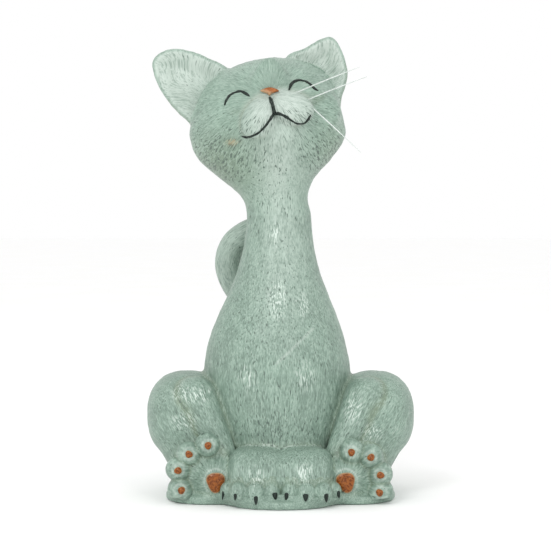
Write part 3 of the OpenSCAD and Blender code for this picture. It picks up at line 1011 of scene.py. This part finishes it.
def jaw_shade(p):
    """Painted shade under the jaw, round the whisker pads and under the cheeks; under the jaw and round the pads it
    is also glaze that ran down and stayed thick.
    """
    x, y, z = p.T
    jaw = 0.5 * patch(p, -32, 176, 22, 16) + 0.4 * patch(p, 30, 182, 12, 14)
    seams = crease(*pad_lumps, width=1.7, amount=0.75)(p) * (0.1 + 0.9 * ramp(np.abs(x + 1.5), 4, 9))
    seams = seams * (y < -20) * (face_lumps(p) < 1.2)
    # Painted shade along the lower edge of each smiling cheek.
    cheeks = np.max([fade(bulge(p, sign), 1.3) for sign in (1, -1)], axis=0)
    cheeks = 0.34 * cheeks * ramp(face(0, -5.0)[2] + 0.21 * x - z, -1, 3) * (y < -15)
    return np.clip(np.max([jaw, seams, cheeks], axis=0), 0, 0.7)


def kiln_mark(p):
    x, _, z = face(-25.6, -21.6)
    return 0.46 * patch(p, x, z, 3.2, 1.6) * (p[:, 1] < 0)


def melt_where(whole, p, near, lumps, soft):
    """Melts lumps in only where near is true, which saves time."""
    if near.any():
        whole[near] = melt_in(whole[near], p[near], lumps, soft)
    return whole


def head_solid(p):
    """Ears and pads lie on the head as their own pieces, so it fills their roots only from 1.6 mm down."""
    below = NECK_JOINT - 1.0 - p[..., 2]
    bare = face_lumps(p)
    whole = melt_where(bare.copy(), p, np.abs(p[..., 1] - 5) < 14, ear_lumps, EAR_SEAM)
    whole = melt_where(whole, p, p[..., 1] < -20, pad_lumps, PAD_SEAM)
    return np.maximum(np.maximum(whole, below), np.maximum(bare, below) - 1.6)


furry("head", ["head_shell"], head_solid, (head_low - [1, 3, 0], head_high + [1, 1, 2]), 0.7,
      (body_comb, face_comb), face_material, turn=face_turn, pale=face_light, pool=jaw_shade, stain=kiln_mark)

# %% Ears into the scene
def build_ear(name, sign, root):
    low, high = box_mm(f"{name}_ear")
    inward = lambda p: -EARS[sign](p)

    def front_side(p):
        return ramp(4.6 + 6.0 * ramp(inward(p), 0, 14) - p[:, 1], 1.2, 3.0)

    def pale(p):
        inner = ramp(inward(p), 0.9, 2.4) * front_side(p)
        # The cup is painted less pale in its hollow: a painted shade.
        hollow = patch(p, root[0] + 9 * sign, root[2] + 8, 9, 7)
        pale_amount = 0.86 - 0.25 * hollow if sign < 0 else 1.0 - 0.3 * hollow
        return np.clip(pale_amount * inner * (0.5 + 0.5 * ramp(face_lumps(p), 0, 5)) + 0.2 * (1 - inner), 0, 1)

    # Near its root the ear is painted darker along its outline: pooled glaze and painted shade at the seam.
    field = fused(plain(ear, sign), [(face_lumps, EAR_SEAM)], reach=1.8, inset=0.05)
    furry(f"{name}_ear_leaf", [f"{name}_ear"], field, (low - [6, 4, 12], high + [8, 6, 4]), 0.55,
          (comb_out(root, (0.0, -1.0, 0.0), 27.0, 4.5, 0.09), body_comb), pale_material, "pale_glaze",
          relief=0.16, width=1.5, pale=pale, speck=None, turn=lambda p: 1 - front_side(p),
          pool=lambda p: 0.4 * (1 - ramp(inward(p), 0.4, 1.6)) * (p[:, 2] < low[2] + 14))


build_ear("left", 1, (16.0, -6.0, 214.0))
build_ear("right", -1, (-34.0, -6.0, 206.0))

# %% [markdown]
# ## Whisker pads
#
# Two soft lumps of clay under the nose, brushed nearly white. Each stops at the middle line of the face,
# where the crease between them runs, and melts into the cheek on its outer side.

# %% Whisker pads
def build_whisker_pad(name, sign):
    def half(p):
        """The pad, kept on its own side of the middle line, with an eased edge there."""
        across = (turned(p - NOSE, ROLL)[0] + 1.4) * sign
        return -melt(-whisker_pad(p, sign), across - 0.1, 1.8)

    middle = PADS[sign][0]
    field = fused(half, [(face_lumps, PAD_SEAM)], reach=1.2, inset=-0.03)
    furry(f"{name}_whisker_pad_lump", [f"{name}_whisker_pad"], field, (middle - 17, middle + 17), 0.5, face_comb,
          pale_material, "pale_glaze", relief=0.1, width=1.4, pale=face_light, pool=jaw_shade,
          speck=lambda p: 0.85 * ramp(middle[2] + 2.5 - p[:, 2], 0, 6))


build_whisker_pad("left", 1)
build_whisker_pad("right", -1)

# %% [markdown]
# ## Hind legs and paws
#
# Haunch, sole, toes and front paws each become one piece per CAD node. The fur runs down and inward over
# the haunches, fans out from the heel over the sole and its toes, and runs forward over the paws.

# %% Haunches
def span(low, high, sign):
    """A box given on the cat's left, mirrored when the piece is on its right."""
    low, high = np.array(low, float), np.array(high, float)
    if sign < 0:
        low[0], high[0] = -high[0], -low[0]
    return low, high


def build_haunch(side, name, sign):
    field = fused(on_slab(side(haunch)), [(skin, 3.0), (side(sole), 3.0), (slab, 2.0)], reach=1.1, inset=0.06)
    # Painted darker along the seams with the belly and the sole and in the fold above the shin: pooled glaze and
    # painted shade.
    seam = crease(skin, side(sole), width=2.4, amount=0.5)
    shin = crease(lambda p: np.abs(side(fold)(p)) + np.abs(side(thigh)(p)), width=1.1, amount=0.7)
    furry(f"{name}_haunch_pebble", [f"{name}_haunch"], lambda p: np.maximum(field(p), -skin(p) - 6.0),
          span(haunch_low - [4, 4, 8], haunch_high + [3, 10, 2], sign), 0.75, comb_down((-0.55 * sign, -0.3)),
          relief=0.15, width=1.7, pool=lambda p: np.maximum(seam(p), shin(p)))


for each in SIDES:
    build_haunch(*each)

# %% Soles and hind toes
def build_foot(side, name, sign):
    heel = HEEL * [sign, 1, 1]
    out_from_heel = comb_out(heel + [0, 8, 0], (0, -1, 0), 8.0, 5.0)
    toes = [side(hind_toe, i, sign) for i in range(4)]

    def halo(p):
        """The ring of pale glaze round the heel pad."""
        far = np.hypot((p[:, 0] - heel[0] - 0.2 * sign) / 6.0, (p[:, 2] - heel[2] - 0.4) / 6.7)
        return 0.42 * fade(far - 1, 0.07) * (p[:, 1] < -36)

    others = [(side(haunch), 3.0), (skin, 2.0), (side(paw), 4.0), (slab, 5.0)] + [(toe, 1.3) for toe in toes]
    # The sole is painted darker round its toes and where it meets the haunch and the paw: pooled glaze and painted
    # shade.
    furry(f"{name}_sole", [f"{name}_hind_foot"], fused(on_slab(side(sole)), others, reach=2.0, inset=0.03),
          span([20, -50, 1], [60, -15, 36], sign), 0.55, out_from_heel, relief=0.16, pale=halo,
          pool=crease(*toes, side(haunch), side(paw), width=1.3, amount=0.5))
    for i, toe in enumerate(toes):
        beside = toes[:i] + toes[i + 1:]
        others = [(side(sole), 1.3), (side(haunch), 2.0), (slab, 5.0)] + [(other, 1.2) for other in beside]
        x, y, z = toe_place(i, sign) * [sign, 1, 1]
        ring = lambda p: fade(np.hypot(p[:, 0] - x + 0.6 * sign, p[:, 2] - z - 0.3) - 3.0, 0.7) * (p[:, 1] < y)
        # Each toe is painted darker where it meets the sole and its neighbours: pooled glaze and painted shade.
        furry(f"{name}_toe_{i + 1}", [f"{name}_hind_toe_{i + 1}"],
              fused(on_slab(toe), others, reach=0.9, inset=0.01 * (i + 1)), span(TOES[i] - 10, TOES[i] + 10, sign),
              0.5, out_from_heel, relief=0.08, pale=lambda p: 0.34 * ring(p),
              pool=crease(side(sole), *beside, width=1.0, amount=0.4), speck=None)


for each in SIDES:
    build_foot(*each)

# %% Front paws and toes
def build_paw(side, name, sign):
    toes = [side(front_toe, i) for i in range(4)]
    other_paw = (flipped if sign > 0 else plain)(paw)
    others = [(skin, 4.0), (other_paw, 3.5), (side(sole), 4.0), (slab, 4.0)] + [(toe, 1.6) for toe in toes]
    # The paw is painted darker where it meets the belly and its toes: pooled glaze and painted shade.
    field = fused(on_slab(side(paw)), others, reach=1.8, inset=0.05)
    # The pale line along the top of each paw, where it meets the belly, is a painted highlight.
    furry(f"{name}_paw", [f"{name}_front_paw"], lambda p: np.maximum(field(p), -sign * p[..., 0] - 0.4),
          span([-2, -60, 1], [31, -22, 33], sign), 0.6, comb_down((0.0, -0.5)), relief=0.15,
          pool=crease(skin, *toes, width=1.4, amount=0.35),
          pale=lambda p: 0.5 * fade(skin(p) - 0.6, 0.7) * (p[:, 2] > 24))
    all_toes = lambda p: melt_in(toes[0](p), p, toes[1:], 1.4)
    # The toes are painted darker where they meet the paw: pooled glaze and painted shade.
    others = [(side(paw), 1.6), (slab, 4.5), (side(sole), 2.0)]
    furry(f"{name}_paw_toes", [f"{name}_front_toes"], fused(on_slab(all_toes), others, reach=3.0, inset=0.02),
          span([-2, -66, 0], [36, -36, 18], sign), 0.5, comb_down((0.0, -0.8)), relief=0.1,
          pool=crease(side(paw), width=1.2, amount=0.35))


for each in SIDES:
    build_paw(*each)

# %% Base slab
slab_low, slab_high = box_mm("base_slab")
on_it = [(side(lump), 5.0) for side, *_ in SIDES for lump in (sole, haunch)]
on_it += [(side(front_toe, i), 4.5) for side, *_ in SIDES for i in range(4)]
base = fused(slab, on_it, reach=3.0)
# The base is painted darker where the body and the feet stand on it: pooled glaze and painted shade.
feet = [side(lump) for side, *_ in SIDES for lump in (paw, sole, haunch)]
furry("base_slab_glazed", ["base_slab"], lambda p: np.maximum(base(p), FLOOR_GAP - p[..., 2]),
      (slab_low - 2, slab_high + [1, 1, 3]), 0.7, comb_down((0, 0), 1.5), relief=0.04, width=2.5,
      pool=crease(skin, *feet, width=1.6, amount=0.3), speck=None)

# %% [markdown]
# ## The tail
#
# A roll of clay, thicker at its root, laid up the back and curled behind the neck. A sweep is the natural
# way: rings of points carried along a smooth line. The fur follows the line, so the `comb` vector takes
# the angle round the ring and the distance along it.

# %% Sweep
def smooth_line(points, steps):
    rows = smooth_rows(np.array(points, float), 24)
    gone = np.concatenate([[0], np.cumsum(np.linalg.norm(np.diff(rows, axis=0), axis=1))])
    even = np.linspace(0, gone[-1], steps)
    return np.stack([np.interp(even, gone, rows[:, i]) for i in range(rows.shape[1])], axis=1), even


def sweep(line, radii, sides, squash=1.0, up=(0.0, 1.0, 0.2)):
    """Rings along a line, closed with a point at each end. Returns points, faces, and each point's angle and step."""
    along = unit(np.gradient(line, axis=0))
    first = unit(np.cross(along, up))
    second = np.cross(first, along)
    turn = 2 * np.pi * np.arange(sides) / sides
    across = np.cos(turn)[None, :, None] * first[:, None] + squash * np.sin(turn)[None, :, None] * second[:, None]
    rings = line[:, None] + radii[:, None, None] * across
    points = np.concatenate([rings.reshape(-1, 3), line[:1], line[-1:]])
    n, faces = len(line), []
    for i in range(n - 1):
        for k in range(sides):
            m = (k + 1) % sides
            faces.append((i * sides + k, i * sides + m, (i + 1) * sides + m, (i + 1) * sides + k))
    start, end = n * sides, n * sides + 1
    faces += [(start, (k + 1) % sides, k) for k in range(sides)]
    faces += [(end, (n - 1) * sides + k, (n - 1) * sides + (k + 1) % sides) for k in range(sides)]
    angle = np.concatenate([np.tile(turn, n), [0, 0]])
    step = np.concatenate([np.repeat(np.arange(n), sides), [0, n - 1]])
    return points, faces, angle, step


TAIL = [[4, 34, 5], [8, 46, 20], [9, 50, 40], [6, 49, 60], [-1, 44, 80], [-12, 38.5, 96], [-23.8, 34.5, 109],
        [-28.8, 32, 122], [-25, 30.5, 134], [-12, 29.5, 141.5], [1.5, 29, 138], [8, 29, 126], [4, 29, 115.5],
        [-5, 29, 114]]
ROOT_R, TIP_R = 9.5, 6.5
line, gone = smooth_line(TAIL, 300)
left_to_go = gone[-1] - gone
tip = np.clip(left_to_go / TIP_R, 0, 1)
radii = (ROOT_R - (ROOT_R - TIP_R) * gone / gone[-1]) * np.sqrt(np.maximum(1 - (1 - tip) ** 2, 0.0004))
points, faces, angle, step = sweep(line, radii, 72)
comb = np.stack([8.0 * np.cos(angle), 8.0 * np.sin(angle), gone[step] / 5.0], axis=1)
lift = np.clip((strokes(comb, 1.5) - 0.5) / FULL_STROKE, -1, 1)
outward = points - line[step]
outward /= np.maximum(np.linalg.norm(outward, axis=1), 1e-6)[:, None]
points = points + outward * (0.15 * lift * (left_to_go[step] > 2))[:, None]
points[:, 2] = np.maximum(points[:, 2], SLAB_TOP - 0.6)
# The tail is painted pale all over, a painted light that lifts it out of the body's shade, and painted darker where
# it lies on the body: pooled glaze and painted shade.
add_mesh("tail_roll", points, faces, fur_material, ["tail"],
         {"comb": comb, "relief": relief_shade(lift), "speck": specks(points), "pale": np.full(len(points), 0.33),
          "pool": 0.5 * fade(skin(points), 2.2)})
print("tail", round(gone[-1]), "mm long")

# %% [markdown]
# ## Drawn lines
#
# The closed eyes and the smile were drawn with a loaded brush: thick in the middle, thin at the ends, and
# standing a little proud. A brush line is a flattened sweep whose path is laid on the face.

# %% Brush lines
def lay_on(points, surface, lift=0.0):
    """Moves each point along y to the front of a surface, and lift further out."""
    p = np.array(points, float)
    p[:, 1] = -60.0
    for _ in range(80):
        p[:, 1] += np.clip(surface(p) * 0.8, -0.5, 2.0)
    return p - [0, lift, 0]


def brush_line(uv, width, steps=60, ends=(0.35, 0.35)):
    """A flattened sweep through points on the face. ends say how hard the brush pressed there."""
    path, _ = smooth_line([face(u, v) for u, v in uv], steps)
    path = lay_on(path, lambda p: melt_in(face_lumps(p), p, pad_lumps, PAD_SEAM), 0.1)
    t = np.linspace(0, 1, steps)
    landing, lifting = (np.clip(way / 0.18, 0, 1) * (1 - end) + end for way, end in zip((t, 1 - t), ends))
    wobble = 1 + 0.14 * np.sin(7 * t + 1.0) + 0.09 * np.sin(23 * t) + 0.07 * np.sin(41 * t + 2)
    caps = np.sqrt(np.clip(np.minimum(t, 1 - t) / 0.03, 0.02, 1))
    return sweep(path, width / 2 * np.minimum(landing, lifting) * wobble * caps, 10, 0.7)


def join(parts):
    points, faces, start = [], [], 0
    for part in parts:
        points.append(part[0])
        faces += [tuple(start + k for k in f) for f in part[1]]
        start += len(part[0])
    return np.concatenate(points), faces


LIDS = {"left": [(8.6, -2.0), (10.0, 0.4), (12.2, 2.0), (15.3, 2.3), (18.2, 1.0), (20.2, -1.2), (21.8, -3.8),
                 (23.8, -5.4)],
        "right": [(-25.6, -2.4), (-23.0, 0.8), (-20.4, 2.5), (-17.8, 3.0), (-15.4, 2.7), (-13.6, 1.3),
                  (-11.6, -0.8)]}
for name, path in LIDS.items():
    points, faces, *_ = brush_line(path, 1.75, ends=(0.4, 0.3))
    add_mesh(f"{name}_lid_stroke", points, faces, line_material, [f"{name}_eyelid_line"])

MOUTH_RIGHT = [(-1.4, -12.4), (-2.8, -13.6), (-5.5, -16.2), (-10.0, -19.6), (-14.4, -21.0), (-17.6, -20.9),
               (-20.4, -19.8)]
MOUTH_LEFT = [(-1.4, -12.6), (1.4, -13.0), (4.7, -15.5), (8.5, -19.0), (12.2, -20.0), (14.8, -18.9), (17.0, -16.6)]
LIP = [(-1.8, -3.2), (-1.5, -5.8), (-1.1, -8.6), (-1.3, -12.6)]
points, faces = join([brush_line(MOUTH_RIGHT, 1.55, 80, (0.9, 0.3)), brush_line(MOUTH_LEFT, 1.7, 80, (0.9, 0.6)),
                      brush_line(LIP, 1.55, 40, (0.55, 0.9))])
add_mesh("smile_stroke", points, faces, line_material, ["mouth_line"])

# %% [markdown]
# ## Nose, paw pads and claws
#
# The nose is a small orange cushion, wide above and pointed below. The pads are lens-shaped drops of thick
# glaze, and each claw is a short dark thorn that points down.

# %% Nose
NOSE_LINE = Outline("nose", [(-0.05, 0.42), (0.14, 0.60), (0.39, 0.71), (0.66, 0.62), (0.85, 0.42), (0.68, 0.28),
                             (0.52, 0.18), (0.41, -0.02), (0.30, 0.16), (0.12, 0.26)], cell=0.12, margin=4.0)
nose_front = lay_on([NOSE], face_lumps)[0][1]


def nose_field(p):
    plan = NOSE_LINE(p) + 1.15
    return np.hypot(np.maximum(plan, 0), (p[..., 1] - nose_front + 0.2) * 0.8) - 1.2 + 0.1 * np.minimum(plan, 0)


points, quads = solidify(nose_field, NOSE - [8, 6, 5], NOSE + [8, 8, 5], 0.3)
# Painted pale on its lower left: a painted highlight.
add_mesh("nose_button", points, quads, nose_material, ["nose"],
         {"pale": 0.5 * ramp(NOSE[2] - points[:, 2] + 0.35 * (NOSE[0] - points[:, 0]), 0.3, 2.2)})

# %% Drops of thick glaze
def lay_drop(middle, size, surface, wobble, tilt, step):
    """A lens of thick glaze on a surface: its points, its faces, and how near the rim each point is."""
    at = lay_on([middle], surface)[0] + [0, 0.45, 0]

    def outline(q):
        """1 on the rim, which is a rounded triangle and not a perfect oval."""
        x, z = turned(q, tilt)
        lobes = 1 + wobble * np.cos(3 * np.arctan2(z, x) - 1.2)
        return np.sqrt((x / size[0]) ** 2 + (z / size[2]) ** 2) / lobes

    def field(p):
        return (np.sqrt(outline(p - at) ** 2 + ((p - at)[..., 1] / size[1]) ** 2) - 1) * size[1]

    reach = np.array(size) * 1.3
    points, quads = solidify(field, at - reach, at + reach, step)
    return points, quads, 0.8 * ramp(outline(points - at), 0.86, 1.0)


def mirrored(points, faces, sign):
    """Flips a mesh to the cat's right and turns its faces outward again."""
    return points * [sign, 1, 1], [tuple(f) if sign > 0 else tuple(f)[::-1] for f in faces]


def foot_front(p, sign):
    return melt_in(sole(p), p, [plain(hind_toe, i, sign) for i in range(4)], 1.6)


print("drops ready")

# %% Paw pads
def build_pads(name, sign):
    front = plain(foot_front, sign)
    points, quads, rim = lay_drop(HEEL + [0.2, 0, 0.4], (4.8, 1.7, 5.4), front, 0.1, 12 + 6 * sign, 0.4)
    points, faces = mirrored(points, quads, sign)
    add_mesh(f"{name}_heel_drop", points, faces, pad_material, [f"{name}_heel_pad"], {"pale": rim})
    drops = []
    for i in range(4):
        middle, odd = toe_place(i, sign) + [-1.4 if i == 3 else -0.6, 0, 0.2], 0.2 * (i % 2)
        drops.append(lay_drop(middle, (1.9 + odd, 1.6, 2.1 - odd), front, 0.05, 40 * i, 0.3))
    points, faces = mirrored(*join(drops), sign)
    add_mesh(f"{name}_toe_drops", points, faces, pad_material, [f"{name}_toe_pads"],
             {"pale": np.concatenate([drop[2] for drop in drops])})


for side, name, sign in SIDES:
    build_pads(name, sign)

# %% Claws
CLAW_REACH = (4.9, 4.5, 4.4, 3.8)
CLAW_WIDTH = {1: (1.2, 1.6, 1.35, 1.1), -1: (1.5, 1.2, 1.0, 0.7)}


def build_claws(name, sign):
    claws = []
    t = np.linspace(0, 1, 40) ** 1.5
    thorn = np.sqrt(np.clip(1 - (1 - np.clip(t / 0.22, 0, 1)) ** 2, 0.001, 1)) * (1 - t ** 1.6) ** 0.7
    for i, (toe, turn) in enumerate(zip(FRONT_TOES, TURNS)):
        out = heading(0.45 * turn)
        forward = CLAW_REACH[i] + 1.1 * np.sin(1.6 * t)
        down = (4.2 + 0.6 * math.sin(3 * i + sign)) * t + 0.9 * (sign < 0 and i == 1) - 0.6
        path = toe + out * forward[:, None] - np.array([0, 0, 1.0]) * down[:, None]
        claws.append(sweep(path, CLAW_WIDTH[sign][i] * thorn + 0.03, 12, 1.0, up=(out[1], -out[0], 0.01)))
    points, faces = mirrored(*join(claws), sign)
    add_mesh(f"{name}_thorns", points, faces, line_material, [f"{name}_claws"])


for side, name, sign in SIDES:
    build_claws(name, sign)

# %% [markdown]
# ## Whiskers
#
# Three nylon filaments, glued into drilled holes in the cat's left whisker pad. Each is 0.7 mm thick where
# it enters and finer at the tip, with the slight droop that a filament takes under its own weight.

# %% Whiskers
ROOTS = [(11.0, -4.2), (13.6, -9.4), (16.8, -10.8)]  # u and v on the face
AIMS = [(0.93, 0.18, 0.32), (0.93, 0.17, 0.32), (0.56, -0.77, 0.32)]  # outward, up and forward
LENGTH, DROOP = 38.0, 1.2
filaments = []
t = np.linspace(0, 1, 40)
for (u, v), (outward, upward, forward) in zip(ROOTS, AIMS):
    aim = face(outward, upward) - face(0, 0) - [0, forward, 0]
    path = face(u, v, -40.0) + LENGTH * t[:, None] * unit(aim)
    path[:, 2] -= DROOP * t ** 2
    filaments.append(sweep(path, 0.33 - 0.18 * t ** 2, 10))
points, faces = join(filaments)
add_mesh("left_filaments", points, faces, nylon_material, ["left_whiskers"])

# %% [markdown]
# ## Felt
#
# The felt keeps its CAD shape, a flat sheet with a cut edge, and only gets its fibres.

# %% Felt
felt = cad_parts["base_felt"]
felt.data.materials.clear()
felt.data.materials.append(felt_material)

# %% [markdown]
# ## The table
#
# A big pale sheet that the cat stands on.

# %% Floor
floor_mesh = bpy.data.meshes.new("table")
HALF = 6.0
floor_mesh.from_pydata([(-HALF, -HALF, 0), (HALF, -HALF, 0), (HALF, HALF, 0), (-HALF, HALF, 0)], [], [(0, 1, 2, 3)])
floor = bpy.data.objects.new("table", floor_mesh)
scene.collection.objects.link(floor)
floor.location.z = cad_box[0][2]
paper, tree = new_material("table_paper")
grain = noise(tree, node(tree, "ShaderNodeTexCoord", out="Object"), 9.0)
finish_surface(tree, Base_Color=blend(tree, grain.between(0.3, 0.7), srgb(253, 253, 252), srgb(254, 254, 254)),
               Roughness=0.8)
floor_mesh.materials.append(paper)

# %% Sizes and the end
print("cad box", cad_box)
